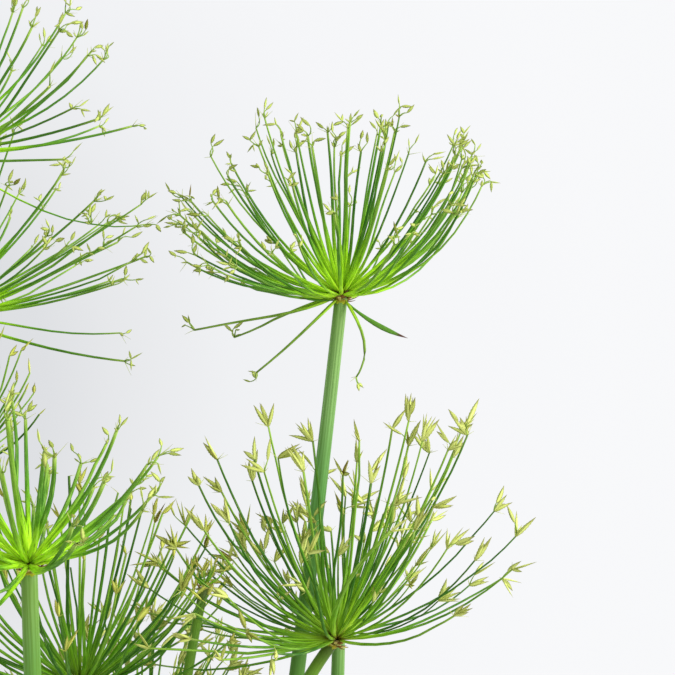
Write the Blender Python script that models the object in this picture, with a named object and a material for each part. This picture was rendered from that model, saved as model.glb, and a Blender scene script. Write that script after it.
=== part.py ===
"""A dwarf papyrus growing in a plain round planter.

The planter is a turned ceramic pot filled with soil. Culms, which are leafless
green stems, stand in the soil, and each carries one umbel: a small hub from
which thin rays spread like a broom, each ending in a flat tuft of spikelets.
Z points up and the origin is the middle of the pot's base. Units are metres.
"""
import math
import random
from collections import namedtuple

import bmesh
import bpy
from mathutils import Matrix, Vector
from mathutils.kdtree import KDTree

MM = 0.001

# Touching pieces keep this much air between them
GAP = 0.3 * MM

# The pot, a turned planter that widens upward to a rolled rim
POT_HEIGHT = 150 * MM
POT_FOOT_RADIUS = 64 * MM
POT_TOP_RADIUS = 84 * MM
POT_WALL = 5 * MM
POT_FLOOR = 8 * MM
RIM_HEIGHT = 14 * MM
RIM_OVERHANG = 3.5 * MM
RIM_ROUNDING = 2.5 * MM
POT_SIDES = 32

# The soil stops below the rim, to leave room for watering
SOIL_TOP = 128 * MM

# A culm is a slim, slowly tapering stem with a sheath round its foot
CULM_FOOT_RADIUS = 3.6 * MM
CULM_TOP_RADIUS = 2.6 * MM
SHEATH_RADIUS = 4.4 * MM
SHEATH_HEIGHT = 34 * MM
CULM_SIDES = 6
CULM_STEPS = 5

# An umbel: a hub on the culm's end, rays that taper outward, tufts on the rays
HUB_RADIUS = 4.6 * MM
HUB_UNDERSIDE = 0.6
HUB_BARE_BELOW = -0.35
RAY_FOOT_RADIUS = 1.1 * MM
RAY_END_RADIUS = 0.6 * MM
RAY_RINGS = (0.42, 0.86)
RAY_BOW = 0.15
DROOP_BOW = -0.10
TUFT_WIDTH = 2.6 * MM
TUFT_THICKNESS = 0.9 * MM
TUFT_MIDDLE = 0.94
BRACT_WIDTH = 1.3 * MM
BRACT_THICKNESS = 0.5 * MM
FULL_RAYS = 57
KEPT_RAY_STEP = 3
GOLDEN_ANGLE = math.radians(137.508)

# Rays of one umbel stay clear of all other umbels and culms
RAY_CLEARANCE = 4.0 * MM
CULM_CLEARANCE = 7.5 * MM
SAMPLE_STEP = 3.0 * MM
TURN_STEP = math.radians(9)
MAX_TURNS = 60

# One row for each culm, in millimetres: foot on the soil (x, y), a point that
# the culm bends towards, the hub on its end, and the reach of its rays
Culm = namedtuple("Culm", "foot bend hub reach habit")
CULMS = {
    1: Culm((50, 12), (79, 6, 315), (99, 0, 500), 89, "read"),
    2: Culm((37, -18), (49, -22, 300), (96, -25, 360), 98, "read"),
    3: Culm((-30, 6), (-78, 8, 350), (-72, 10, 562), 94, "open"),
    4: Culm((-37, 24), (-66, 28, 320), (-74, 30, 492), 98, "loose"),
    5: Culm((-44, -4), (-58, -5, 300), (-62, -6, 430), 70, "open"),
    6: Culm((-6, -48), (-14, -92, 300), (-13, -110, 401), 70, "open"),
    7: Culm((2, -14), (-4, -12, 250), (-9, -10, 337), 90, "broom"),
    8: Culm((57, 33), (97, 24, 240), (98, 22, 356), 66, "broom"),
    9: Culm((18, -33), (25, -26, 300), (43, -20, 381), 22, "young"),
    10: Culm((-57, -17), (-92, -40, 330), (-138, -62, 478), 80, "open"),
    11: Culm((-55, 36), (-92, 52, 320), (-140, 84, 440), 80, "open"),
    12: Culm((-30, -45), (-44, -62, 190), (-62, -92, 236), 66, "open"),
    13: Culm((34, 52), (46, 62, 200), (62, 90, 248), 68, "open"),
    14: Culm((-20, 52), (-30, 70, 190), (-50, 104, 244), 68, "open"),
    15: Culm((50, -38), (64, -48, 180), (90, -72, 226), 62, "open"),
    16: Culm((6, 34), (8, 48, 220), (8, 72, 292), 70, "broom"),
}

# How an umbel spreads: lowest and highest rise of its rays, as sines, how far
# its middle leans with the culm, and how unequal its rays are
Habit = namedtuple("Habit", "low high lean spread rays")
HABITS = {
    "open": Habit(-0.06, 0.97, 0.6, 0.10, FULL_RAYS),
    "loose": Habit(-0.30, 0.95, 0.5, 0.12, FULL_RAYS),
    "broom": Habit(0.30, 0.98, 0.4, 0.12, FULL_RAYS),
    "young": Habit(0.55, 0.98, 0.5, 0.25, FULL_RAYS // 2),
}

# The rays of the two umbels that show best, in millimetres from the hub:
# across, up, and whether the ray leans to the front (-1) or the back (1)
READ_TIPS = {
    1: (
        (-77, 46, 1), (-74, 31, -1), (-72, 20, 1), (-60, 68, -1), (-40, 78, 1),
        (-34, 80, -1), (-21, 77, 1), (-8, 77, -1), (4, 81, 1), (19, 81, -1),
        (25, 82, 1), (37, 61, -1), (54, 70, 1), (67, 56, -1), (66, 47, 1),
        (53, 38, -1), (-18, 21, -1), (29, 26, -1), (12, 24, 1), (-30, 34, 1),
        (-68, -11, -1), (-37, -35, 1), (3, -37, -1),
    ),
    2: (
        (-50, 82, 1), (-66, 70, -1), (-30, 66, -1), (-27, 92, 1), (-8, 89, -1),
        (-4, 62, -1), (6, 87, 1), (32, 90, -1), (40, 88, 1), (55, 80, -1),
        (30, 62, -1), (69, 60, 1), (85, 44, -1), (79, 24, 1), (62, 24, -1),
        (52, 7, 1), (-62, 56, 1), (-64, 36, -1), (-60, 18, 1), (-56, -10, -1),
        (20, 40, 1), (-14, 50, 1),
    ),
}

# A broad leaf-like bract that hangs under the hub of the first umbel
BRACT_TIPS = {1: ((28, -17, -1),)}
BRACT_REACH = 34


def clear_scene():
    """Empty the scene of whatever it holds."""
    for old in list(bpy.data.objects):
        bpy.data.objects.remove(old, do_unlink=True)


def make_material(name, colour, roughness, metallic=0.0):
    """A plain Principled finish."""
    material = bpy.data.materials.new(name)
    material.use_nodes = True
    shader = material.node_tree.nodes["Principled BSDF"]
    shader.inputs["Base Color"].default_value = (*colour, 1.0)
    shader.inputs["Roughness"].default_value = roughness
    shader.inputs["Metallic"].default_value = metallic
    return material


def add_object(name, mesh, material):
    """Put a finished bmesh in the scene as one smooth-shaded object."""
    bmesh.ops.recalc_face_normals(mesh, faces=mesh.faces)
    data = bpy.data.meshes.new(name)
    mesh.to_mesh(data)
    mesh.free()
    data.shade_smooth()
    data.set_sharp_from_angle(angle=math.radians(40))
    data.materials.append(material)
    piece = bpy.data.objects.new(name, data)
    bpy.context.scene.collection.objects.link(piece)
    return piece


def turned_solid(profile, sides):
    """A closed solid of revolution from (radius, height) points, axis to axis."""
    mesh = bmesh.new()
    rings = []
    for radius, height in profile:
        if radius == 0:
            rings.append([mesh.verts.new((0, 0, height))])
            continue
        ring = []
        for side in range(sides):
            turn = math.tau * side / sides
            ring.append(mesh.verts.new((radius * math.cos(turn), radius * math.sin(turn), height)))
        rings.append(ring)
    for lower, upper in zip(rings, rings[1:]):
        for side in range(sides):
            after = (side + 1) % sides
            corners = [lower[side % len(lower)], lower[after % len(lower)],
                       upper[after % len(upper)], upper[side % len(upper)]]
            mesh.faces.new(list(dict.fromkeys(corners)))
    return mesh


def inner_radius(height):
    """Radius of the pot's inside at a height, along its straight taper."""
    taper = (POT_TOP_RADIUS - POT_FOOT_RADIUS) / POT_HEIGHT
    return POT_FOOT_RADIUS + taper * height - POT_WALL


def add_pot(material):
    """The planter, from the middle of its base up the outside and down inside."""
    taper = (POT_TOP_RADIUS - POT_FOOT_RADIUS) / POT_HEIGHT
    rim_foot = POT_HEIGHT - RIM_HEIGHT
    rim_radius = POT_TOP_RADIUS + RIM_OVERHANG
    profile = (
        (0, 0),
        (POT_FOOT_RADIUS, 0),
        (POT_FOOT_RADIUS + taper * rim_foot, rim_foot),
        (rim_radius, rim_foot + RIM_OVERHANG),
        (rim_radius, POT_HEIGHT - RIM_ROUNDING),
        (rim_radius - RIM_ROUNDING, POT_HEIGHT),
        (inner_radius(POT_HEIGHT), POT_HEIGHT),
        (inner_radius(POT_FLOOR), POT_FLOOR),
        (0, POT_FLOOR),
    )
    return add_object("pot", turned_solid(profile, POT_SIDES), material)


def add_soil(material):
    """The soil, a plug that follows the inside of the pot."""
    bottom = POT_FLOOR + GAP
    profile = (
        (0, bottom),
        (inner_radius(bottom) - 2 * GAP, bottom),
        (inner_radius(SOIL_TOP) - 2 * GAP, SOIL_TOP),
        (0, SOIL_TOP),
    )
    return add_object("soil", turned_solid(profile, POT_SIDES), material)


def bezier(start, control, end, part):
    """A point on a curve that leaves start towards control and ends at end."""
    rest = 1 - part
    return start * rest * rest + control * 2 * rest * part + end * part * part


def culm_axis(culm):
    """The direction in which a culm's end points."""
    return (Vector(culm.hub) - Vector(culm.bend)).normalized()


def culm_points(culm):
    """Points up the middle of a culm, the sheath's two rings first."""
    foot = Vector((*culm.foot, 0)) * MM + Vector((0, 0, SOIL_TOP + GAP))
    axis = culm_axis(culm)
    end = Vector(culm.hub) * MM - axis * (HUB_RADIUS * HUB_UNDERSIDE + GAP)
    control = Vector(culm.bend) * MM
    length = (end - foot).length
    sheath = SHEATH_HEIGHT / length
    parts = [0, 0.5 * sheath, 0.8 * sheath]
    for step in range(1, CULM_STEPS + 1):
        parts.append(0.8 * sheath + (1 - 0.8 * sheath) * step / CULM_STEPS)
    return [bezier(foot, control, end, part) for part in parts]


def culm_radii(count):
    """Radii for culm_points: a sheath, then a slow taper."""
    radii = [SHEATH_RADIUS, SHEATH_RADIUS, CULM_FOOT_RADIUS]
    steps = count - len(radii)
    for step in range(1, steps + 1):
        radii.append(CULM_FOOT_RADIUS + (CULM_TOP_RADIUS - CULM_FOOT_RADIUS) * step / steps)
    return radii


def add_culm(number, culm, material):
    """One stem: flat on the soil at its foot, square to its axis at its top."""
    points = culm_points(culm)
    radii = culm_radii(len(points))
    mesh = bmesh.new()
    rings = []
    for index, (point, radius) in enumerate(zip(points, radii)):
        before = points[max(index - 1, 0)]
        after = points[min(index + 1, len(points) - 1)]
        along = (after - before).normalized()
        if index == 0:
            along = Vector((0, 0, 1))
        if index == len(points) - 1:
            along = culm_axis(culm)
        across = (Vector((1, 0, 0)) - along * along.x).normalized()
        back = along.cross(across)
        ring = []
        for side in range(CULM_SIDES):
            turn = math.tau * side / CULM_SIDES
            offset = across * math.cos(turn) + back * math.sin(turn)
            ring.append(mesh.verts.new(point + offset * radius))
        rings.append(ring)
    for lower, upper in zip(rings, rings[1:]):
        for side in range(CULM_SIDES):
            after = (side + 1) % CULM_SIDES
            mesh.faces.new((lower[side], lower[after], upper[after], upper[side]))
    mesh.faces.new(list(reversed(rings[0])))
    mesh.faces.new(rings[-1])
    return add_object(f"culm_{number}", mesh, material)


def ray_path(tip, samples):
    """Points from the hub's middle to a tip, on a curve that swings upward."""
    level = Vector((tip.x, tip.y, 0))
    rise = math.atan2(tip.z, level.length)
    outward = level.normalized()
    bow = RAY_BOW * math.cos(rise)
    if rise < 0:
        bow = DROOP_BOW
    square = outward * math.sin(rise) - Vector((0, 0, math.cos(rise)))
    control = tip * 0.5 + square * (bow * tip.length)
    return [bezier(Vector(), control, tip, part) for part in samples]


def read_tip(across, up, side, reach):
    """A tip in metres, its depth worked out from the ray's length."""
    depth = math.sqrt(max(reach * reach - across * across - up * up, 1))
    return Vector((across, side * depth, up)) * MM


def spiral_tips(number, culm):
    """Tips spread evenly round an umbel by the golden angle, every third kept."""
    habit = HABITS[culm.habit]
    draw = random.Random(100 + number)
    lean = Vector((0, 0, 1)).lerp(culm_axis(culm), habit.lean).normalized()
    upright = Vector((0, 0, 1)).rotation_difference(lean).to_matrix()
    start = draw.uniform(0, math.tau)
    tips = []
    for index in range(habit.rays):
        rise = habit.low + (habit.high - habit.low) * (index + 0.5) / habit.rays
        turn = start + index * GOLDEN_ANGLE + draw.uniform(-0.15, 0.15)
        length = culm.reach * MM * (1 - draw.uniform(0, habit.spread))
        if index % KEPT_RAY_STEP:
            continue
        level = math.sqrt(1 - rise * rise)
        tip = Vector((level * math.cos(turn), level * math.sin(turn), rise))
        tips.append(upright @ tip * length)
    return tips


def umbel_tips(number, culm):
    """The tips of the rays that this umbel has as solids."""
    if culm.habit != "read":
        return spiral_tips(number, culm)
    return [read_tip(*tip, culm.reach) for tip in READ_TIPS[number]]


def sample_parts(length):
    """Even steps along a path of a length."""
    count = max(2, round(length / SAMPLE_STEP))
    return [step / count for step in range(1, count + 1)]


class Neighbours:
    """Points on the pieces that are already placed, for keeping clear of them."""

    def __init__(self, points, clearance):
        self.clearance = clearance
        self.tree = KDTree(len(points))
        for index, point in enumerate(points):
            self.tree.insert(point, index)
        self.tree.balance()

    def touches(self, points):
        """Whether any of the points comes too close."""
        for point in points:
            found = self.tree.find(point)
            if found[2] is not None and found[2] < self.clearance:
                return True
        return False


def culm_samples(culm):
    """Closely spaced points up a culm."""
    points = culm_points(culm)
    samples = []
    for lower, upper in zip(points, points[1:]):
        for part in sample_parts((upper - lower).length):
            samples.append(lower.lerp(upper, part))
    return samples


def clear_tip(tip, hub, neighbours):
    """Turn a ray about the hub's upright until it misses every neighbour."""
    parts = sample_parts(tip.length)
    for turn in range(MAX_TURNS):
        swing = (turn + 1) // 2 * TURN_STEP * (-1) ** turn
        turned = Matrix.Rotation(swing, 3, "Z") @ tip
        path = [hub + point for point in ray_path(turned, parts)]
        if not any(group.touches(path) for group in neighbours):
            return turned, path
    return None, []


def place_rays():
    """The tips of every umbel, each clear of the other umbels and culms."""
    placed = {}
    ray_points = []
    for number, culm in CULMS.items():
        hub = Vector(culm.hub) * MM
        others = []
        for other, other_culm in CULMS.items():
            if other != number:
                others.extend(culm_samples(other_culm))
        neighbours = [Neighbours(others, CULM_CLEARANCE), Neighbours(ray_points, RAY_CLEARANCE)]
        kept = []
        added = []
        for tip in umbel_tips(number, culm):
            turned, path = clear_tip(tip, hub, neighbours)
            if turned is not None:
                kept.append(turned)
                added.extend(path)
        placed[number] = kept
        ray_points.extend(added)
        ray_points.append(hub)
    return placed


def move_ring(face, centre, along, widths, broad):
    """Set a three-cornered ring square to a path, wide along the broad way."""
    middle = face.calc_center_median()
    thin = along.cross(broad)
    width, thickness = widths
    for vert in face.verts:
        offset = vert.co - middle
        offset -= along * offset.dot(along)
        offset.normalize()
        shaped = broad * (offset.dot(broad) * width) + thin * (offset.dot(thin) * thickness)
        vert.co = centre + shaped


def grow_ray(mesh, face, tip, rings):
    """Pull a hub face out along a path through its rings to a point."""
    parts = [ring[0] for ring in rings]
    centres = ray_path(tip, parts)
    for index, (part, widths) in enumerate(rings):
        before, after = ray_path(tip, (max(part - 0.02, 0), min(part + 0.02, 1)))
        along = (after - before).normalized()
        broad = along.cross(Vector((0, 0, 1))).normalized()
        face = bmesh.ops.extrude_discrete_faces(mesh, faces=[face])["faces"][0]
        move_ring(face, centres[index], along, widths, broad)
    point = bmesh.ops.poke(mesh, faces=[face])["verts"][0]
    point.co = tip


def tufted_rings():
    """Rings of a ray: a slim stalk, then a flat tuft."""
    rings = []
    for part in RAY_RINGS:
        radius = RAY_FOOT_RADIUS + (RAY_END_RADIUS - RAY_FOOT_RADIUS) * part
        rings.append((part, (radius, radius)))
    rings.append((TUFT_MIDDLE, (TUFT_WIDTH, TUFT_THICKNESS)))
    return rings


def bract_rings():
    """Rings of a bract: a flat blade, broadest in its middle."""
    return [
        (0.3, (BRACT_WIDTH * 0.8, BRACT_THICKNESS)),
        (0.6, (BRACT_WIDTH, BRACT_THICKNESS)),
        (0.85, (BRACT_WIDTH * 0.6, BRACT_THICKNESS)),
    ]


def add_umbel(number, culm, tips, material):
    """One umbel: a hub with a flat underside, and its rays pulled out of it."""
    mesh = bmesh.new()
    bmesh.ops.create_icosphere(mesh, subdivisions=2, radius=HUB_RADIUS)
    for vert in mesh.verts:
        vert.co.z = max(vert.co.z, -HUB_UNDERSIDE * HUB_RADIUS)
    lean = Vector((0, 0, 1)).rotation_difference(culm_axis(culm)).to_matrix()
    bmesh.ops.rotate(mesh, verts=mesh.verts, matrix=lean)
    mesh.normal_update()
    axis = culm_axis(culm)
    free = []
    for face in mesh.faces:
        if face.calc_center_median().dot(axis) > HUB_BARE_BELOW * HUB_RADIUS:
            free.append(face)
    growths = [(tip, tufted_rings()) for tip in tips]
    for bract in BRACT_TIPS.get(number, ()):
        growths.append((read_tip(*bract, BRACT_REACH), bract_rings()))
    chosen = []
    for tip, rings in sorted(growths, key=lambda growth: growth[0].z):
        first = ray_path(tip, (0.06,))[0].normalized()
        face = max(free, key=lambda candidate: candidate.normal.dot(first))
        free.remove(face)
        chosen.append((face, tip, rings))
    for face, tip, rings in chosen:
        grow_ray(mesh, face, tip, rings)
    bmesh.ops.translate(mesh, verts=mesh.verts, vec=Vector(culm.hub) * MM)
    return add_object(f"umbel_{number}", mesh, material)


def build():
    """The whole plant in its planter."""
    clear_scene()
    glaze = make_material("pale glaze", (0.68, 0.67, 0.63), 0.35)
    earth = make_material("potting soil", (0.035, 0.022, 0.014), 0.95)
    stem_green = make_material("culm green", (0.19, 0.40, 0.13), 0.45)
    ray_green = make_material("ray green", (0.16, 0.42, 0.04), 0.5)
    add_pot(glaze)
    add_soil(earth)
    tips = place_rays()
    for number, culm in CULMS.items():
        add_culm(number, culm, stem_green)
        add_umbel(number, culm, tips[number], ray_green)


build()
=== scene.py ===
import math
import random
from collections import namedtuple

import bpy
from mathutils import Matrix, Vector, noise
from mathutils.kdtree import KDTree


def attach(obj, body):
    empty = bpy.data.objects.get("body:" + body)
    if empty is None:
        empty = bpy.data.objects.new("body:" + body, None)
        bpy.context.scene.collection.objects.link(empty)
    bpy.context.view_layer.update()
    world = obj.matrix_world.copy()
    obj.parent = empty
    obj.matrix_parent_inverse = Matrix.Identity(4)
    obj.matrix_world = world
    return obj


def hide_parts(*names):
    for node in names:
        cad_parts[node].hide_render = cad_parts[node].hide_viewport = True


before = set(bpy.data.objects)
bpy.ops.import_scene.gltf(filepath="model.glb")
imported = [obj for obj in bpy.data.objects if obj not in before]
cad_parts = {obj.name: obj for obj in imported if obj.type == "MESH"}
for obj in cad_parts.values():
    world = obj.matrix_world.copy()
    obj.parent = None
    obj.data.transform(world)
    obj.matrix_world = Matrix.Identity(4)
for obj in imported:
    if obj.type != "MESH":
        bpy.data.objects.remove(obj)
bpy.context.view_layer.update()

# The pot is one stoneware planter, thrown on a wheel and dipped in a pale satin
# glaze. Faint throwing rings run round it, iron specks show through the glaze,
# and the foot is wiped clean down to the bare clay.
MM = 0.001
ROUND_SIDES = 96
POT_HEIGHT = 150
POT_WALL = 5
POT_FLOOR = 8
WALL_FOOT = 64
WALL_TOP = 84
RIM_RADIUS = 87.4
RING_STEP = 2.0
RING_DEPTH = 0.16
COLLAR_HEIGHT = 134
INSIDE_TOP = 142
INSIDE_STEP = 8


class Wire:
    """A shader socket that takes part in sums, so node maths reads as Python."""

    def __init__(self, mixing, socket):
        self.mixing = mixing
        self.socket = socket

    def __add__(self, other):
        return self.mixing.sum_of("ADD", self, other)

    def __radd__(self, other):
        return self.mixing.sum_of("ADD", other, self)

    def __sub__(self, other):
        return self.mixing.sum_of("SUBTRACT", self, other)

    def __rsub__(self, other):
        return self.mixing.sum_of("SUBTRACT", other, self)

    def __mul__(self, other):
        return self.mixing.sum_of("MULTIPLY", self, other)


class Mixing:
    """A node tree in which colours are mixed."""

    def __init__(self, tree):
        self.tree = tree

    def node(self, kind, settings, sockets, output=0):
        """Any node: its settings first, then the values or links of its sockets."""
        made = self.tree.nodes.new(kind)
        for name, value in settings.items():
            if name == "stops":
                ramp = made.color_ramp
                while len(ramp.elements) < len(value):
                    ramp.elements.new(0.5)
                for element, (place, colour) in zip(ramp.elements, value):
                    element.position = place
                    element.color = (*colour, 1.0)
            else:
                setattr(made, name, value)
        for name, value in sockets.items():
            found = [s for s in made.inputs if name in (s.identifier, s.name)]
            if isinstance(value, Wire):
                self.tree.links.new(value.socket, found[0])
            else:
                found[0].default_value = value
        if isinstance(output, str):
            return Wire(self, [s for s in made.outputs if output in (s.identifier, s.name)][0])
        return Wire(self, made.outputs[output])

    def sum_of(self, operation, first, second):
        """A Math node on two values."""
        sockets = {"Value": first, "Value_001": second}
        return self.node("ShaderNodeMath", {"operation": operation}, sockets)

    def fade(self, value, low, high):
        """0 below low, 1 above high, and a smooth step between."""
        settings = {"interpolation_type": "SMOOTHSTEP"}
        sockets = {"Value": value, "From Min": low, "From Max": high}
        return self.node("ShaderNodeMapRange", settings, sockets)

    def mix(self, factor, first, second):
        """One colour turning into another."""
        sides = {}
        for side, colour in (("A_Color", first), ("B_Color", second)):
            sides[side] = colour if isinstance(colour, Wire) else (*colour, 1.0)
        settings = {"data_type": "RGBA"}
        return self.node("ShaderNodeMix", settings, {"Factor_Float": factor, **sides}, "Result_Color")

    def ramp(self, value, stops):
        """A colour read off a scale of stops."""
        return self.node("ShaderNodeValToRGB", {"stops": stops}, {"Fac": value}, "Color")

    def place(self):
        """Where a point is on the object, in metres."""
        return self.node("ShaderNodeTexCoord", {}, {}, "Object")

    def stretched(self, vector, scales):
        """A place stretched along its three ways."""
        return self.node("ShaderNodeMapping", {}, {"Vector": vector, "Scale": scales})

    def grain(self, vector, scale, detail=3.0, roughness=0.55):
        """Noise between 0 and 1."""
        sockets = {"Vector": vector, "Scale": scale, "Detail": detail, "Roughness": roughness}
        return self.node("ShaderNodeTexNoise", {}, sockets)

    def reading(self, name, output="Fac"):
        """A value that the mesh carries at each point."""
        return self.node("ShaderNodeAttribute", {"attribute_name": name}, {}, output)


class Paint(Mixing):
    """A material: a Principled shader and the colours mixed for it."""

    def __init__(self, name, roughness, specular=0.5, coat=0.0):
        self.material = bpy.data.materials.new(name)
        self.material.use_nodes = True
        super().__init__(self.material.node_tree)
        self.shader = self.tree.nodes["Principled BSDF"]
        values = {"Roughness": roughness, "Specular IOR Level": specular, "Coat Weight": coat}
        for name, value in values.items():
            self.shader.inputs[name].default_value = value

    def colour(self, wire):
        """Feed the base colour."""
        self.tree.links.new(wire.socket, self.shader.inputs["Base Color"])

    def roughness(self, wire):
        """Feed the roughness."""
        self.tree.links.new(wire.socket, self.shader.inputs["Roughness"])

    def bump(self, height, distance, strength):
        """Feed the normal from a height."""
        sockets = {"Height": height, "Distance": distance, "Strength": strength}
        normal = self.node("ShaderNodeBump", {}, sockets)
        self.tree.links.new(normal.socket, self.shader.inputs["Normal"])


class Growth:
    """The points, faces and painted values of one piece while it is made."""

    def __init__(self):
        self.points = []
        self.faces = []
        self.finishes = []
        self.along = []
        self.tint = []
        self.fibre = []

    def point(self, place, along=0.0, tint=0.0, fibre=(0.0, 0.0, 0.0)):
        """Add a point and give its number."""
        self.points.append(tuple(place))
        self.along.append(along)
        self.tint.append(tint)
        self.fibre.extend(fibre)
        return len(self.points) - 1

    def face(self, corners, finish=0):
        """Add a face of point numbers, in one of the piece's finishes."""
        self.faces.append(corners)
        self.finishes.append(finish)

    def skin(self, rings, finish=0):
        """Join rings of point numbers, and close both ends."""
        count = len(rings[0])
        for lower, upper in zip(rings, rings[1:]):
            for side in range(count):
                after = (side + 1) % count
                self.face((lower[side], lower[after], upper[after], upper[side]), finish)
        self.face(tuple(reversed(rings[0])), finish)
        self.face(tuple(rings[-1]), finish)

    def piece(self, name, paints, smooth=True):
        """The finished object."""
        mesh = bpy.data.meshes.new(name)
        mesh.from_pydata(self.points, [], self.faces)
        mesh.polygons.foreach_set("material_index", self.finishes)
        mesh.polygons.foreach_set("use_smooth", [smooth] * len(self.faces))
        for label, values in (("along", self.along), ("tint", self.tint)):
            layer = mesh.attributes.new(label, "FLOAT", "POINT")
            layer.data.foreach_set("value", values)
        fibre = mesh.attributes.new("fibre", "FLOAT_VECTOR", "POINT")
        fibre.data.foreach_set("vector", self.fibre)
        for paint in paints:
            mesh.materials.append(paint.material)
        mesh.update()
        made = bpy.data.objects.new(name, mesh)
        bpy.context.scene.collection.objects.link(made)
        return made


def turns(sides):
    """Angles evenly round a circle."""
    return [math.tau * side / sides for side in range(sides)]


def turned(growth, profile):
    """A body of revolution from (radius, height) points in millimetres."""
    rings = []
    for radius, height in profile:
        ring = []
        for turn in turns(ROUND_SIDES):
            place = Vector((radius * math.cos(turn), radius * math.sin(turn), height)) * MM
            ring.append(growth.point(place))
        rings.append(ring)
    growth.skin(rings)


def wall_radius(height):
    """How far out the pot's wall stands at a height."""
    return WALL_FOOT + (WALL_TOP - WALL_FOOT) / POT_HEIGHT * height


def pot_profile():
    """The outline from the middle of the underside, up outside, down inside."""
    profile = [(0.5, 2.4), (50, 2.4), (53, 1.8), (55, 0.3), (56, 0), (62.4, 0), (63.6, 0.5)]
    height = RING_STEP
    while height < COLLAR_HEIGHT:
        wobble = RING_DEPTH * math.sin(height * 0.9) * noise.noise((0, 0, height * 0.07))
        profile.append((wall_radius(height) - 0.2 + wobble, height))
        height += RING_STEP
    profile += [(82.6, 135.6), (83.4, 137.0), (85.6, 138.2), (87.0, 139.8), (RIM_RADIUS, 142)]
    profile += [(RIM_RADIUS, 146), (86.9, 148), (85.7, 149.3), (84.2, 149.9), (82.4, 150)]
    profile += [(80.6, 149.5), (79.4, 148.2), (78.8, 146)]
    height = INSIDE_TOP
    while height > POT_FLOOR + 6:
        profile.append((wall_radius(height) - POT_WALL, height))
        height -= INSIDE_STEP
    profile += [(WALL_FOOT - POT_WALL - 1, POT_FLOOR + 1.5), (52, POT_FLOOR), (0.5, POT_FLOOR)]
    return profile


def glaze_paint():
    """Pale satin glaze over speckled clay, bare at the foot."""
    paint = Paint("pale glaze", 0.34, coat=0.25)
    place = paint.place()
    height = paint.node("ShaderNodeSeparateXYZ", {}, {"Vector": place}, "Z")
    cloud = paint.grain(place, 22.0, 4.0)
    base = paint.mix(cloud, (0.55, 0.535, 0.49), (0.68, 0.67, 0.63))
    specks = paint.fade(paint.grain(place, 620.0, 1.0), 0.70, 0.76)
    rare = paint.fade(paint.grain(place, 90.0, 1.0), 0.48, 0.62)
    freckled = paint.mix(specks * rare * 0.75, base, (0.16, 0.10, 0.06))
    edge = paint.grain(paint.stretched(place, (60.0, 60.0, 10.0)), 1.0) * 0.0016
    bare = 1 - paint.fade(height + edge, 0.0035, 0.0042)
    clay = paint.mix(paint.grain(place, 240.0), (0.36, 0.24, 0.16), (0.50, 0.36, 0.25))
    paint.colour(paint.mix(bare, freckled, clay))
    paint.roughness(0.30 + cloud * 0.10 + bare * 0.45)
    rings = paint.grain(paint.stretched(place, (3.0, 3.0, 420.0)), 1.0, 2.0)
    paint.bump(rings + paint.grain(place, 160.0) * 0.6, 0.0004, 0.5)
    return paint


pot = Growth()
turned(pot, pot_profile())
pot_piece = pot.piece("planter", [glaze_paint()])
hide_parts("pot")
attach(pot_piece, "root")

# The soil is a damp peat mix pressed into the pot. Its top is uneven, with
# crumbs of peat, flakes of bark and a few white grains of perlite lying on it.
SOIL_TOP = 128
SOIL_BOTTOM = 8.4
SOIL_GAP = 0.4
SOIL_MIDDLE = 0.5
SOIL_RINGS = 34
SOIL_ROUGH = 2.2

# Crumbs, bark flakes and perlite: how many, from what size to what, how flat
LITTER = ((1500, 0.7, 2.3, 0.8), (110, 2.2, 5.5, 0.28), (70, 0.8, 1.6, 0.85))


def wall_inside(height):
    """Radius of the soil at a height: the pot's inside less a small gap."""
    return wall_radius(height) - POT_WALL - SOIL_GAP


def soil_height(x, y):
    """Height of the soil's top at a place, all in millimetres."""
    broad = noise.fractal((x * 0.035, y * 0.035, 4.0), 1.0, 2.0, 3)
    fine = noise.fractal((x * 0.22, y * 0.22, 9.0), 0.8, 2.1, 4)
    return SOIL_TOP + SOIL_ROUGH * broad + 0.9 * fine - 0.6


def soil_ring(growth, reach, height):
    """One ring of the soil; a height of None follows the rough top."""
    ring = []
    for turn in turns(ROUND_SIDES):
        x = reach * math.cos(turn)
        y = reach * math.sin(turn)
        z = soil_height(x, y) if height is None else height
        ring.append(growth.point((x * MM, y * MM, z * MM)))
    return ring


def soil_body(growth):
    """The plug of soil, its top rough and its sides against the pot."""
    rings = [soil_ring(growth, SOIL_MIDDLE, SOIL_BOTTOM)]
    rings.append(soil_ring(growth, wall_inside(SOIL_BOTTOM), SOIL_BOTTOM))
    for number in range(SOIL_RINGS):
        reach = wall_inside(SOIL_TOP) * (1 - number / SOIL_RINGS)
        rings.append(soil_ring(growth, reach, None))
    growth.skin(rings)


OCTAHEDRON = ((1, 0, 0), (-1, 0, 0), (0, 1, 0), (0, -1, 0), (0, 0, 1), (0, 0, -1))
OCTAHEDRON_FACES = ((0, 2, 4), (2, 1, 4), (1, 3, 4), (3, 0, 4),
                    (2, 0, 5), (1, 2, 5), (3, 1, 5), (0, 3, 5))


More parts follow.
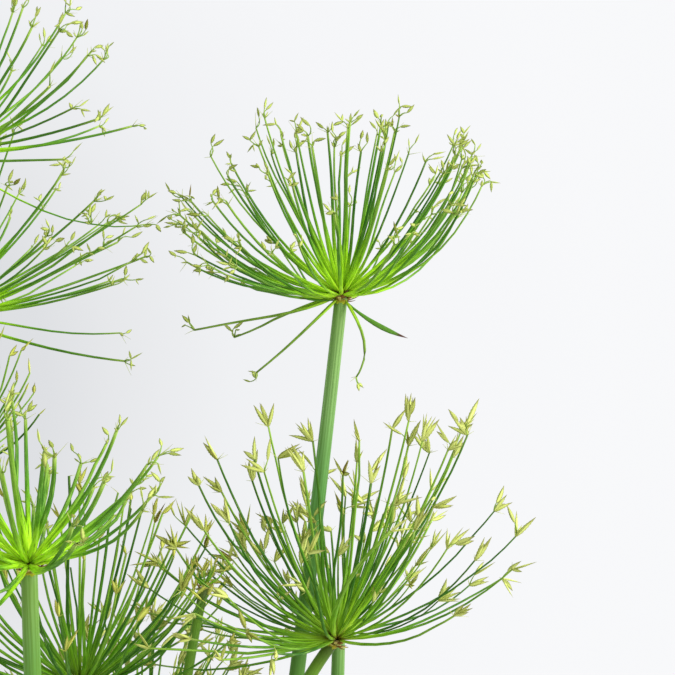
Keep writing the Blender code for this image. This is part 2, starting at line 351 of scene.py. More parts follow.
def crumb(growth, draw, size, flatness, finish):
    """One loose lump lying on the soil."""
    reach = wall_inside(SOIL_TOP) - size
    turn = draw.uniform(0, math.tau)
    away = reach * math.sqrt(draw.random())
    x = away * math.cos(turn)
    y = away * math.sin(turn)
    middle = Vector((x, y, soil_height(x, y) + size * 0.25 * flatness))
    spin = Matrix.Rotation(draw.uniform(0, math.tau), 3, "Z")
    tip = Matrix.Rotation(draw.uniform(-0.5, 0.5), 3, "X")
    tint = draw.random()
    numbers = []
    for corner in OCTAHEDRON:
        stretch = Vector((size * draw.uniform(0.7, 1.2), size * draw.uniform(0.45, 0.9),
                          size * flatness * draw.uniform(0.6, 1.0)))
        shaped = Vector(corner) * stretch
        numbers.append(growth.point((middle + spin @ (tip @ shaped)) * MM, 0.0, tint))
    for face in OCTAHEDRON_FACES:
        growth.face(tuple(numbers[corner] for corner in face), finish)


def soil_paint():
    """Dark damp peat."""
    paint = Paint("peat", 0.95, specular=0.25)
    place = paint.place()
    lumps = paint.grain(place, 260.0, 6.0, 0.7)
    brown = paint.mix(lumps, (0.012, 0.008, 0.005), (0.060, 0.038, 0.022))
    paint.colour(paint.mix(paint.reading("tint") * 0.5, brown, (0.075, 0.047, 0.028)))
    paint.bump(paint.grain(place, 900.0, 6.0, 0.7), 0.0008, 0.9)
    return paint


def bark_paint():
    """Flakes of composted bark."""
    paint = Paint("bark flakes", 0.85, specular=0.3)
    fibre = paint.grain(paint.stretched(paint.place(), (1800.0, 300.0, 900.0)), 1.0, 3.0)
    brown = paint.mix(fibre, (0.07, 0.035, 0.018), (0.22, 0.12, 0.06))
    paint.colour(paint.mix(paint.reading("tint") * 0.6, brown, (0.10, 0.065, 0.04)))
    paint.bump(fibre, 0.0004, 0.8)
    return paint


def perlite_paint():
    """White puffed grains, a little soiled."""
    paint = Paint("perlite", 0.9, specular=0.3)
    spots = paint.grain(paint.place(), 700.0, 3.0)
    paint.colour(paint.mix(spots, (0.62, 0.58, 0.50), (0.80, 0.79, 0.75)))
    paint.bump(spots, 0.0003, 0.8)
    return paint


soil = Growth()
soil_body(soil)
soil_draw = random.Random(5)
for finish, (count, least, most, flatness) in enumerate(LITTER):
    for _ in range(count):
        crumb(soil, soil_draw, soil_draw.uniform(least, most), flatness, finish)
soil_piece = soil.piece("potting_soil", [soil_paint(), bark_paint(), perlite_paint()], smooth=False)
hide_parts("soil")
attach(soil_piece, "root")

# A culm is a leafless green stem, full of pith and smooth outside, with fine
# lines along it. It grows out of the soil wrapped in a short papery sheath,
# which is the only leaf that the plant makes below its umbel.
Culm = namedtuple("Culm", "foot bend hub girth pale olive")

# Each culm: its foot, the point that it bends towards, its hub, half its width,
# how far up the scale of greens it goes, and how olive it is. One that is more
# than 0.7 olive is dark at the top.
CULMS = {
    1: Culm((50, 12), (79, 6, 315), (99, 0, 500), 2.75, 1.0, 0.1),
    2: Culm((37, -18), (49, -22, 300), (96, -25, 360), 2.4, 0.8, 1.0),
    3: Culm((-30, 6), (-78, 8, 350), (-72, 10, 562), 2.8, 1.0, 0.3),
    4: Culm((-37, 24), (-66, 28, 320), (-74, 30, 492), 2.7, 1.0, 0.3),
    5: Culm((-44, -4), (-58, -5, 300), (-62, -6, 430), 2.4, 0.9, 0.3),
    6: Culm((-6, -48), (-14, -92, 300), (-13, -110, 401), 3.0, 0.95, 0.7),
    7: Culm((2, -14), (-4, -12, 250), (-9, -10, 337), 2.6, 0.8, 0.5),
    8: Culm((57, 33), (97, 24, 240), (98, 22, 356), 2.8, 0.9, 0.35),
    9: Culm((18, -33), (25, -26, 300), (43, -20, 381), 1.9, 0.55, 0.85),
    10: Culm((-57, -17), (-92, -40, 330), (-138, -62, 478), 2.5, 0.9, 0.3),
    11: Culm((-55, 36), (-92, 52, 320), (-140, 84, 440), 2.5, 0.9, 0.1),
    12: Culm((-30, -45), (-44, -62, 190), (-62, -92, 236), 2.3, 0.8, 0.3),
    13: Culm((34, 52), (46, 62, 200), (62, 90, 248), 2.3, 0.8, 0.4),
    14: Culm((-20, 52), (-30, 70, 190), (-50, 104, 244), 2.3, 0.8, 0.2),
    15: Culm((50, -38), (64, -48, 180), (90, -72, 226), 2.2, 0.8, 0.5),
    16: Culm((6, 34), (8, 48, 220), (8, 72, 292), 2.4, 0.8, 0.3),
}
CULM_SIDES = 14
CULM_RINGS = 30
CULM_DEPTH = 4
FOOT_SWELL = 1.42
SHEATH_HEIGHTS = (30, 52)
SHEATH_RINGS = 9
SHEATH_THICKNESS = 0.2
SHEATH_SLANT = 5.0
SHEATH_TEARS = 1.2

# How many fine lines show round a culm, and how often they change along it
CULM_FIBRES = 4.2
CULM_LENGTHWISE = 5


def shares(steps):
    """Even steps from 0 to 1."""
    return [step / steps for step in range(steps + 1)]


def bezier(start, control, end, part):
    """A point on a curve that leaves start towards control and ends at end."""
    rest = 1 - part
    return start * rest * rest + control * 2 * rest * part + end * part * part


def culm_line(culm, part):
    """A point up the middle of a culm, in millimetres."""
    foot = Vector((*culm.foot, SOIL_TOP - CULM_DEPTH))
    return bezier(foot, Vector(culm.bend), Vector(culm.hub), part)


def culm_end(culm):
    """The way that a culm's end points."""
    return (Vector(culm.hub) - Vector(culm.bend)).normalized()


def square_ways(along):
    """Two directions square to a line and to each other."""
    across = (Vector((1, 0, 0)) - along * along.x).normalized()
    return across, along.cross(across)


def stem_ring(growth, culm, part, radius, lift, along, tint):
    """One ring of a stem or of its sheath."""
    step = 0.01
    way = (culm_line(culm, part + step) - culm_line(culm, part - step)).normalized()
    across, back = square_ways(way)
    ring = []
    for turn in turns(CULM_SIDES):
        offset = across * math.cos(turn) + back * math.sin(turn)
        place = culm_line(culm, part) + offset * radius + way * lift(turn)
        fibre = (CULM_FIBRES * math.cos(turn), CULM_FIBRES * math.sin(turn),
                 part * CULM_LENGTHWISE)
        ring.append(growth.point(place * MM, along, tint, fibre))
    return ring


def no_lift(turn):
    """A ring that is cut square."""
    return 0.0


def stem(growth, culm, tint):
    """The culm itself."""
    rings = []
    for part in shares(CULM_RINGS):
        radius = culm.girth * (1 + (FOOT_SWELL - 1) * (1 - part))
        rings.append(stem_ring(growth, culm, part, radius, no_lift, part * culm.pale, tint))
    growth.skin(rings)


def sheath(growth, culm, draw):
    """The papery sheath round the foot, with a slanting torn mouth."""
    height = draw.uniform(*SHEATH_HEIGHTS)
    whole = (Vector(culm.hub) - Vector((*culm.foot, SOIL_TOP))).length
    facing = draw.uniform(0, math.tau)
    tint = draw.random()

    def mouth(turn):
        slant = SHEATH_SLANT * math.cos(turn - facing)
        return slant + SHEATH_TEARS * math.sin(5 * turn + tint * 6)

    outer = []
    inner = []
    for part in shares(SHEATH_RINGS):
        place = part * height / whole
        lift = mouth if part == 1 else no_lift
        radius = culm.girth * FOOT_SWELL + 0.75 - 0.5 * part
        outer.append(stem_ring(growth, culm, place, radius, lift, part, tint))
        within = radius - SHEATH_THICKNESS
        inner.append(stem_ring(growth, culm, place, within, lift, part, tint))
    growth.skin([inner[0], *outer, *reversed(inner[1:])], 1)


def culm_paint():
    """Living green with fine lines: paler towards the umbel, darker below partly as painted shade."""
    paint = Paint("culm green", 0.42, specular=0.14)
    # The darker greens low on the stem are partly its own colour and partly painted shade from the
    # umbels above.
    green = paint.ramp(paint.reading("along"), (
        (0.0, (0.100, 0.180, 0.018)),
        (0.35, (0.095, 0.220, 0.022)),
        (0.62, (0.088, 0.228, 0.040)),
        (0.78, (0.120, 0.330, 0.080)),
        (0.88, (0.225, 0.415, 0.130)),
        (1.0, (0.270, 0.450, 0.130)),
    ))
    fibre = paint.reading("fibre", "Vector")
    lines = paint.grain(fibre, 1.0, 2.0, 0.6)
    patches = paint.grain(paint.place(), 38.0, 3.0)
    darker = paint.mix(paint.fade(lines, 0.42, 0.58) * 0.50, green, (0.070, 0.180, 0.024))
    tint = paint.reading("tint")
    green = paint.mix(tint * (0.15 + patches), darker, (0.120, 0.230, 0.008))
    height = paint.node("ShaderNodeSeparateXYZ", {}, {"Vector": fibre}, "Z")
    top = paint.fade(height, 0.9 * CULM_LENGTHWISE, CULM_LENGTHWISE)
    dark_top = top * paint.fade(tint, 0.70, 0.85)
    paint.colour(paint.mix(dark_top * 0.8, green, (0.040, 0.052, 0.008)))
    paint.roughness(0.36 + lines * 0.16)
    paint.bump(lines, 0.0003, 0.6)
    return paint


def sheath_paint():
    """Dry reddish-brown husk that turns straw coloured at its torn mouth."""
    paint = Paint("foot sheath", 0.62, specular=0.3)
    brown = paint.ramp(paint.reading("along"), (
        (0.0, (0.085, 0.030, 0.016)),
        (0.45, (0.170, 0.085, 0.035)),
        (1.0, (0.330, 0.240, 0.110)),
    ))
    fibre = paint.grain(paint.reading("fibre", "Vector"), 2.0, 3.0)
    paint.colour(paint.mix(paint.fade(fibre, 0.4, 0.7) * 0.5, brown, (0.10, 0.055, 0.028)))
    paint.bump(fibre, 0.0003, 0.7)
    return paint


stem_paints = [culm_paint(), sheath_paint()]
for number, culm in CULMS.items():
    culm_draw = random.Random(400 + number)
    growth = Growth()
    stem(growth, culm, culm.olive)
    sheath(growth, culm, culm_draw)
    piece = growth.piece(f"stem_{number}", stem_paints)
    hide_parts(f"culm_{number}")
    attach(piece, "root")

# An umbel is the flower head that tops a culm. From a small hub among narrow
# bracts, up to ninety thin rays spread like a broom. They are lime where their
# sheaths overlap, the lime partly a painted glow of light shining through them,
# then green, and each forks into raylets with spikelets.
Habit = namedtuple("Habit", "low high lean spread")

# How rays spread: the rise of the lowest and the highest as a share of their
# length, how far they all lean with the culm, and how unequal they are
HABITS = {
    "open": Habit(-0.06, 0.97, 0.6, 0.10),
    "loose": Habit(-0.30, 0.95, 0.5, 0.12),
    "broom": Habit(0.30, 0.98, 0.4, 0.12),
    "young": Habit(0.55, 0.98, 0.5, 0.25),
}

# Each umbel: how far its rays reach in millimetres, how they spread, how many of
# them fill it in beside those that are placed singly and up to what share
# across, its kind of tuft, how stout its rays are, how much they bow, and how
# much of the range of tints they use: with less of it fewer rays get painted shade
FIELDS = "reach habit filling limit tuft stout bow tints"
Umbel = namedtuple("Umbel", FIELDS, defaults=(1, 1, 1))
UMBELS = {
    1: Umbel(79, "open", 0, 0, "slender"),
    2: Umbel(88, "open", 0, 0, "ripe", 0.97),
    3: Umbel(88, "open", 57, 0.30, "slender", 1.1, tints=0.85),
    4: Umbel(92, "loose", 57, 0.35, "slender", 1.0, 0.3, 0.42),
    5: Umbel(63, "open", 57, 0.30, "sparse", 0.85),
    6: Umbel(63, "open", 57, 0.00, "slender", 1.5, tints=0.5),
    7: Umbel(88, "broom", 57, 0.60, "withered"),
    8: Umbel(60, "broom", 57, 0.70, "ripe", 0.8),
    9: Umbel(12, "young", 8, 1.0, "sparse", 0.8),
    10: Umbel(67, "open", 57, 1.0, "slender"),
    11: Umbel(67, "open", 57, 1.0, "slender"),
    12: Umbel(60, "open", 57, 1.0, "slender", 0.95),
    13: Umbel(59, "open", 57, 1.0, "ripe", 0.95),
    14: Umbel(58, "open", 57, 1.0, "ripe", 0.95),
    15: Umbel(56, "open", 57, 1.0, "slender", 0.95),
    16: Umbel(64, "broom", 57, 1.0, "ripe", 0.95),
}

GOLDEN_ANGLE = math.radians(137.508)
RAY_SIDES = 5
RAY_PARTS = (0.0, 0.05, 0.13, 0.24, 0.36, 0.48, 0.60, 0.72, 0.84, 0.93, 1.0)
RAY_FOOT = 0.92
RAY_END = 0.49
LEVEL_BOW = 0.15
STEEP_BOW = 0.05

# How far rays keep from other culms, at how many points a culm and a ray are
# tried, and by what steps a ray turns about the hub until it is clear
CULM_CLEARANCE = 4.6
CULM_TRIALS = 90
RAY_TRIALS = 30
SWINGS = 24
SWING_STEP = math.radians(6)

# Where tufts stand in the umbels that show best, in millimetres from the hub:
# across and up, as the camera sees them beside the hub. Their depth follows from
# their length, front and back in turn. A third number is a ray's own bow. The
# middle of a tuft is TUFT_MIDDLE beyond the end of its ray.
TUFT_MIDDLE = 5.0
LENGTH_CHANGE = 0.04
LEAST_DEPTH = 3
CAMERA_DISTANCE = 750
CAMERA_HEIGHT = 483.4
CAMERA_ACROSS = 97.5
READ_ENDS = {
    1: (
        (-71, 45), (-67, 43), (-72, 37), (-71, 33), (-70, 29), (-63, 30), (-57, 43),
        (-51, 42), (-42, 45), (-65, 19), (-69, 16), (-60, 15), (-57, 11), (-51, 10),
        (-43, 6), (-45, 23), (-48, 25), (-31, 20), (-28, 24), (-19, 24), (-22, 20),
        (-58, 63), (-49, 60), (-51, 55), (-45, 50), (-38, 76), (-34, 80), (-37, 68),
        (-31, 64), (-27, 73), (-26, 68), (-33, 56), (-30, 50), (-22, 51), (-20, 74),
        (-15, 73), (-20, 65), (-13, 68), (-6, 74), (-3, 68), (0, 63), (4, 79), (3, 76),
        (9, 66), (2, 53), (-3, 38), (4, 41), (18, 78), (16, 73), (20, 71), (21, 76),
        (26, 81), (24, 74), (21, 58), (24, 56), (18, 66), (30, 64), (38, 61),
        (50, 68, 0.1), (54, 68, 0.14), (58, 63, 0.2), (54, 62, 0.18), (50, 60, 0.14),
        (57, 58, 0.24), (60, 54, 0.26), (63, 50, 0.28), (57, 49, 0.25), (46, 56, 0.15),
        (44, 50, 0.15), (40, 51, 0.1), (54, 47, 0.24), (49, 42, 0.22), (51, 35, 0.28),
        (51, 38, 0.26), (36, 35, 0.16), (41, 38, 0.18), (29, 26), (33, 29), (18, 22),
        (24, 24), (54, 58, 0.2), (59, 52, 0.27), (60, 57, 0.26), (51, 64, 0.13),
        (55, 53, 0.22), (-67, 38), (-65, 32), (-60, 37), (-54, 20), (-47, 14), (-38, 13),
        (-62, 25),
    ),
    2: (
        (-28, 92), (-50, 78), (-48, 64), (-58, 67), (-34, 78), (-30, 73), (-35, 69),
        (-24, 79), (-9, 86), (-13, 73), (-6, 71), (11, 86), (10, 77), (4, 72), (5, 62),
        (16, 68), (25, 91), (32, 94), (32, 84), (38, 86), (41, 81), (49, 82), (54, 89),
        (57, 88), (30, 70), (26, 59), (42, 65), (43, 58), (42, 52), (35, 48), (22, 46),
        (49, 40), (51, 79), (69, 56), (78, 45), (61, 35), (72, 27, 0.22), (77, 31),
        (58, 24), (52, 11, 0.22), (-26, 51), (-11, 38), (-24, 12), (-45, 51), (-19, 6),
        (-46, 19), (-41, 36), (-49, -8), (-64, 50), (-68, 40), (-72, 30), (-60, 12),
        (-52, 28), (-38, 4), (-78, 33), (-80, 23), (-79, 12), (-80, -3), (-76, -10),
        (-56, 48), (-71, 8), (-62, 1), (-56, 5), (-25, -5), (-34, 11), (-66, 22),
    ),
    3: (
        (33, 63), (42, 57), (57, 63), (54, 55), (46, 48), (69, 46), (55, 43), (67, 44),
        (74, 42), (60, 20), (72, 12), (71, 15), (87, 12, 0.24), (56, -3, 0.2), (28, 6),
        (38, 66), (62, 52), (50, 30),
    ),
    4: (
        (55, 69), (47, 38), (79, 46), (56, 33), (73, 33), (86, 26), (76, 17),
        (77, 15), (81, -7), (83, -20), (30, 46), (69, 54), (75, 44), (54, 66), (51, 59),
        (46, 32), (71, 43), (88, 42), (80, 35), (90, 52), (92, 28), (82, 18, 0.25), (34, 57),
        (29, 61), (60, 24), (66, 30),
    ),
    5: ((25, 50), (30, 52), (28, 38), (32, 34), (36, 33), (38, 23), (20, 44), (34, 42)),
    6: (
        (50, 43), (46, 40), (41, 32), (48, 28), (38, 26), (29, 33), (25, 31), (34, 53),
        (30, 48), (10, 43), (7, 40), (6, 45), (-7, 52), (18, 9), (25, 11), (17, 16),
        (33, 20), (44, 22), (20, 40),
    ),
    7: (
        (-5, 94), (1, 87), (19, 82), (27, 80), (32, 77), (41, 59), (20, 60), (-19, 35),
        (-27, 37), (50, 44), (60, 36), (66, 22), (53, 50), (56, 42), (47, 52), (53, 40),
        (59, 43), (45, 47), (57, 49),
    ),
}

# The tint of a ray that hangs and has turned olive; other tints are 0 to 1
HANGING = 2.0

# Rays that hang or reach forward and show singly: their ends and the points that
# they bend towards, in millimetres from the hub, the way that their spikelets
# point, how stout they are, their tint, and where more tufts sit along them
SHAPED_RAYS = {
    1: (
        ((-61, -8, -13.5), (-28, -14, -9.5), (-0.7, 0, 0.7), 1.1, HANGING, ()),
        ((-45, 2, -16.5), (-24, -10, -8.5), (-0.2, 0, 1), 1.05, HANGING, ()),
        ((-35, -9, -31), (-17, -14, -16.5), (-0.2, 0, -1), 1.1, HANGING, ()),
        ((6.3, -9, -32.9), (16.3, -15, -20.7), (-0.15, 0, -1), 1.0, HANGING, ()),
    ),
    2: (((21.5, -58, 51), (-5, -40, 22), (0.6, 0, 0.8), 1.6, 0.05, ()),),
    3: (((87.5, 4, -30.2), (46, 2, -37.3), (1, 0, 0.1), 0.7, 0.4, (3, 5, 7)),),
}


def usual_bow(umbel, tip):
    """How much a ray of this slope bows: level rays more than steep ones."""
    steep = tip.z / tip.length
    return umbel.bow * (STEEP_BOW + LEVEL_BOW * (1 - steep * steep))


def ray_bend(tip, bow):
    """The point that a ray bends towards: below its straight line, and outward."""
    level = Vector((tip.x, tip.y, 0))
    rise = math.atan2(tip.z, level.length)
    outward = level.normalized()
    square = outward * math.sin(rise) - Vector((0, 0, math.cos(rise)))
    bend = tip * 0.5 + square * (bow * tip.length)
    bend.z = max(bend.z, min(tip.z, 0))
    return bend


def seen_beside(hub, across, up, depth):
    """A point, from the hub, that looks this far across and up at its depth."""
    eye = Vector((CAMERA_ACROSS, -CAMERA_DISTANCE, CAMERA_HEIGHT))
    sight = hub + Vector((across, 0, up)) - eye
    return eye + sight * (1 + depth / sight.y) - hub


def read_rays(number, umbel, hub):
    """Ends and bows of the rays that are placed singly."""
    rays = []
    side = 1
    for across, up, *own_bow in READ_ENDS.get(number, ()):
        length = umbel.reach * (1 + LENGTH_CHANGE * math.sin(7 * across + 3 * up))
        depth = math.sqrt(max(length * length - across * across - up * up, LEAST_DEPTH ** 2))
        tuft_place = seen_beside(hub, across, up, side * depth)
        tip = tuft_place * (1 - TUFT_MIDDLE / tuft_place.length)
        rays.append((tip, own_bow[0] if own_bow else usual_bow(umbel, tip)))
        side = -side
    return rays


def spiral_rays(umbel, culm, draw):
    """Rays spread evenly round the hub by the golden angle."""
    habit = HABITS[umbel.habit]
    lean = Vector((0, 0, 1)).lerp(culm_end(culm), habit.lean).normalized()
    upright = Vector((0, 0, 1)).rotation_difference(lean).to_matrix()
    start = draw.uniform(0, math.tau)
    rays = []
    for index in range(umbel.filling):
        rise = habit.low + (habit.high - habit.low) * (index + 0.5) / umbel.filling
        turn = start + index * GOLDEN_ANGLE + draw.uniform(-0.15, 0.15)
        length = umbel.reach * (1 - draw.uniform(0, habit.spread))
        level = math.sqrt(1 - rise * rise)
        tip = upright @ Vector((level * math.cos(turn), level * math.sin(turn), rise)) * length
        if tip.x <= umbel.limit * umbel.reach:
            rays.append((tip, usual_bow(umbel, tip)))
    return rays


def culm_guard(number):
    """A search tree of points up all the other culms."""
    places = []
    for other, culm in CULMS.items():
        if other != number:
            places.extend(culm_line(culm, part) for part in shares(CULM_TRIALS))
    tree = KDTree(len(places))
    for index, place in enumerate(places):
        tree.insert(place, index)
    tree.balance()
    return tree


def misses_culms(hub, tip, bow, guard):
    """Whether a ray keeps clear of every other culm."""
    bend = ray_bend(tip, bow)
    places = [hub + bezier(Vector(), bend, tip, part) for part in shares(RAY_TRIALS)[1:]]
    return all(guard.find(place)[2] >= CULM_CLEARANCE for place in places)


def swung_clear(hub, tip, bow, guard):
    """The ray, turned about the hub until it misses the culms."""
    for swing in range(SWINGS):
        angle = SWING_STEP * ((swing + 1) // 2) * (-1) ** swing
        turned_tip = Matrix.Rotation(angle, 3, "Z") @ tip
        if misses_culms(hub, turned_tip, bow, guard):
            return turned_tip
    return tip


# How many fine lines show round a strand, how often they change along it, and
# how far apart the lines of strands of other tints lie
STRAND_FIBRES = 1.7
STRAND_LENGTHWISE = 7
STRAND_SHIFT = 40


def strand(growth, line, widths, finish, tint, sides, reading=None, facing=(0, 0, 1)):
    """A tapering tube along a line, given half its width and half its thickness."""
    rings = []
    last = len(line) - 1
    for index, place in enumerate(line):
        way = (line[min(index + 1, last)] - line[max(index - 1, 0)]).normalized()
        broad = way.cross(Vector(facing))
        if broad.length < 0.05:
            broad = way.cross(Vector((0, 1, 0.1)))
        broad.normalize()
        thin = broad.cross(way)
        width, thickness = widths[index]
        value = reading[index] if reading else index / last
        ring = []
        for turn in turns(sides):
            offset = broad * (width * math.cos(turn)) + thin * (thickness * math.sin(turn))
            fibre = (STRAND_FIBRES * math.cos(turn), STRAND_FIBRES * math.sin(turn),
                     value * STRAND_LENGTHWISE + tint * STRAND_SHIFT)
            ring.append(growth.point((place + offset) * MM, value, tint, fibre))
        rings.append(ring)
    growth.skin(rings, finish)


def turned_away(way, angle, draw):
    """A direction at an angle from another, to a random side."""
    side = way.orthogonal().normalized()
    side = Matrix.Rotation(draw.uniform(0, math.tau), 3, way) @ side
    return (way * math.cos(angle) + side * math.sin(angle)).normalized()


def swerved(way, least, most, draw):
    """A direction that leaves another by between two angles in degrees."""
    return turned_away(way, math.radians(draw.uniform(least, most)), draw)


RAY_FINISH = 0
SPIKELET_FINISH = 1
BRACT_FINISH = 2

# What the tint of a spikelet gains at its edges, and in the few that have turned
# rusty; and the share of those
EDGE_TINT = 0.6
RUST = 0.7
RUSTY_SHARE = 0.02


def spikelet(growth, foot, way, length, width, age_and_shade, draw):
    """A flat spikelet: two ranks of pointed scales overlap like a saw's edge."""
    teeth = 4 if length < 5.5 else 7
    stations = 2 * teeth + 1
    flat = turned_away(way, math.pi / 2, draw)
    thick = way.cross(flat)
    curve = flat * (draw.uniform(-0.14, 0.14) * length)
    # Older tufts, and those given painted shade on the side away from the light, have darker
    # spikelets.
    tint = 0.50 * age_and_shade ** 2 + 0.2 * draw.random() ** 2
    if draw.random() < RUSTY_SHARE:
        tint += RUST
    edge = tint + EDGE_TINT
    rows = []
    for station, part in enumerate(shares(stations)):
        body = math.sin(math.pi * (0.16 + 0.84 * part ** 0.9)) ** 1.1 + 0.05
        left, right = (1.09, 0.88) if station % 2 else (0.88, 1.09)
        middle = foot + way * (part * length) + curve * (part * part)
        forward = way * (length / stations * 0.5)
        half = body * width / 2
        ridge = body * width * 0.26
        places = (middle + flat * (left * half) + forward, middle + thick * ridge,
                  middle - flat * (right * half) + forward, middle - thick * ridge)
        tints = (edge, tint, edge, tint)
        rows.append([growth.point(place * MM, part, own) for place, own in zip(places, tints)])
    growth.skin(rows, SPIKELET_FINISH)


def raylet(growth, foot, way, length, draw):
    """A thread-thin branch at a ray's end; gives its tip and direction."""
    side = turned_away(way, math.pi / 2, draw)
    bend = draw.uniform(0.05, 0.45) * length
    tip = foot + way * length + side * bend * 0.5
    control = foot + way * (length * 0.5) - side * bend
    line = [bezier(foot, control, tip, part) for part in shares(4)]
    widths = [(0.40 - 0.035 * step, 0.32 - 0.025 * step) for step in range(5)]
    reading = [0.96 + 0.01 * step for step in range(5)]
    strand(growth, line, widths, RAY_FINISH, draw.uniform(0, 0.5), 3, reading)
    return tip, (tip - control).normalized()


def bristle(growth, foot, way, length, draw):
    """A small thread-like bract at a fork."""
    tip = foot + way * length
    line = [foot, foot.lerp(tip, 0.5), tip]
    widths = [(0.22, 0.16), (0.17, 0.11), (0.04, 0.04)]
    strand(growth, line, widths, SPIKELET_FINISH, 0.3, 3)


# A spikelet as it grows in one kind of tuft: how far it leans in degrees, its
# length and its width
Shape = namedtuple("Shape", "lean length width")
SLENDER = Shape((4, 60), (3.4, 5.6), (1.2, 1.75))
SLENDER_TWIN = Shape((35, 80), (2.6, 4.2), (1.0, 1.4))
SLENDER_ASIDE = Shape((25, 85), (2.6, 4.2), (1.0, 1.4))
RIPE = Shape((4, 32), (6.5, 11.8), (1.4, 2.2))
WITHERED = Shape((3, 28), (6.2, 10.2), (1.4, 2.1))
SPARSE = Shape((5, 60), (4.0, 7.4), (1.1, 1.8))


def shaped_spikelet(growth, foot, way, shape, age_and_shade, draw):
    """A spikelet of a given shape that leans away from a direction."""
    leaning = swerved(way, *shape.lean, draw)
    spikelet(growth, foot, leaning, draw.uniform(*shape.length), draw.uniform(*shape.width),
             age_and_shade, draw)


def slender_tuft(growth, end, way, age_and_shade, draw):
    """The end of a fresh ray: a few raylets with narrow spikelets."""
    for _ in range(draw.choice((1, 2, 2, 3, 3, 4))):
        branch = swerved(way, 4, 48, draw)
        tip, onward = raylet(growth, end, branch, draw.uniform(1.8, 6.5), draw)
        shaped_spikelet(growth, tip, onward, SLENDER, age_and_shade, draw)
        if draw.random() < 0.3:
            shaped_spikelet(growth, tip, onward, SLENDER_TWIN, age_and_shade, draw)
    for _ in range(draw.choice((0, 1, 1, 2))):
        shaped_spikelet(growth, end, way, SLENDER_ASIDE, age_and_shade, draw)
    for _ in range(2):
        bristle(growth, end, swerved(way, 15, 75, draw), draw.uniform(2.0, 7.0), draw)


def ripe_tuft(growth, end, way, age_and_shade, draw):
    """The end of a ripe ray: spikelets lean to one side like fingers, some on raylets."""
    leaning = swerved(way, 0, 62, draw)
    forks = [(end, leaning, draw.choice((3, 3, 4, 4, 6)))]
    for _ in range(draw.choice((0, 0, 1, 1))):
        branch = swerved(way, 10, 50, draw)
        tip, onward = raylet(growth, end, branch, draw.uniform(2.5, 6), draw)
        forks.append((tip, onward, draw.choice((1, 1, 2))))
    for place, onward, count in forks:
        for _ in range(count):
            shaped_spikelet(growth, place, onward, RIPE, age_and_shade, draw)
    for _ in range(2):
        bristle(growth, end, swerved(way, 30, 90, draw), draw.uniform(2.0, 6.0), draw)


def withered_tuft(growth, end, way, age_and_shade, draw):
    """The end of a ray past its best: a few spikelets close together, or none left."""
    leaning = swerved(way, 0, 50, draw)
    for _ in range(draw.choice((0, 1, 2, 3, 3))):
        shaped_spikelet(growth, end, leaning, WITHERED, age_and_shade, draw)
    bristle(growth, end, swerved(way, 30, 90, draw), draw.uniform(2.0, 6.0), draw)


def sparse_tuft(growth, end, way, age_and_shade, draw):
    """The end of a ray with one or two spikelets only."""
    for _ in range(draw.choice((1, 1, 2))):
        shaped_spikelet(growth, end, way, SPARSE, age_and_shade, draw)


# Where a ray's foot starts above and beside the middle of its hub, and how thin
# it is there
FOOT_RISE = 1.3
FOOT_REACH = 1.1
FOOT_PINCH = 0.62


def ray_line(foot, bend, tip, draw):
    """Points along a ray: a curve with a slow wave and, in some, a kink."""
    side = turned_away(tip.normalized(), math.pi / 2, draw)
    wave = tip.length * draw.uniform(0, 0.018)
    kinked = draw.choice(RAY_PARTS[5:9])
    kink = tip.length * draw.choice((0, draw.uniform(0.01, 0.04)))
    line = []
    for part in RAY_PARTS:
        bent = part / kinked if part < kinked else (1 - part) / (1 - kinked)
        sway = wave * math.sin(math.tau * part) + kink * bent
        line.append(bezier(foot, bend, tip, part) + side * sway)
    return line


def ray(growth, hub, axis, tip, bend, stout, tint, draw):
    """One ray from the hub; gives its line."""
    foot = axis * FOOT_RISE + bend.normalized() * FOOT_REACH
    line = [hub + place for place in ray_line(foot, bend, tip, draw)]
    widths = []
    for part in RAY_PARTS:
        thick = stout * (RAY_END + (RAY_FOOT - RAY_END) * (1 - part) ** 1.2)
        thick *= FOOT_PINCH + (1 - FOOT_PINCH) * min(part / RAY_PARTS[2], 1)
        widths.append((thick, thick * 0.8))
    strand(growth, line, widths, RAY_FINISH, tint, RAY_SIDES, RAY_PARTS)
    return line


BLADE_STEPS = 8
BLADE_SIDES = 6


def blade(growth, foot, bend, tip, width, tint, facing):
    """A flat pointed bract that curves from its foot to its tip."""
    line = [bezier(foot, bend, tip, part) for part in shares(BLADE_STEPS)]
    widths = []
    for part in shares(BLADE_STEPS):
        broad = width * (0.35 + 0.65 * math.sin(math.pi * part ** 1.5)) * (1 - part ** 9)
        widths.append((max(broad, 0.05), max(0.24 * (1 - part ** 3), 0.04)))
    strand(growth, line, widths, BRACT_FINISH, tint, BLADE_SIDES, facing=facing)


# The knob's height, radius as a share of the culm's, and place on the ray's colours
KNOB = ((-2.6, 0.99, 0.044), (-1.7, 1.06, 0.038), (-0.8, 1.08, 0.028), (0.2, 0.78, 0.010),
        (0.9, 0.2, 0.0))
KNOB_SIDES = 12


def hub_knob(growth, hub, axis, girth):
    """The knob of fused ray bases on the culm's end: olive below and brown on top."""
    across, back = square_ways(axis)
    rings = []
    for height, radius, place in KNOB:
        ring = []
        for turn in turns(KNOB_SIDES):
            reach = girth * radius * (1 + 0.05 * math.sin(5 * turn))
            offset = across * (reach * math.cos(turn)) + back * (reach * math.sin(turn))
            ring.append(growth.point((hub + axis * height + offset) * MM, place, 0.3))
        rings.append(ring)
    growth.skin(rings, RAY_FINISH)


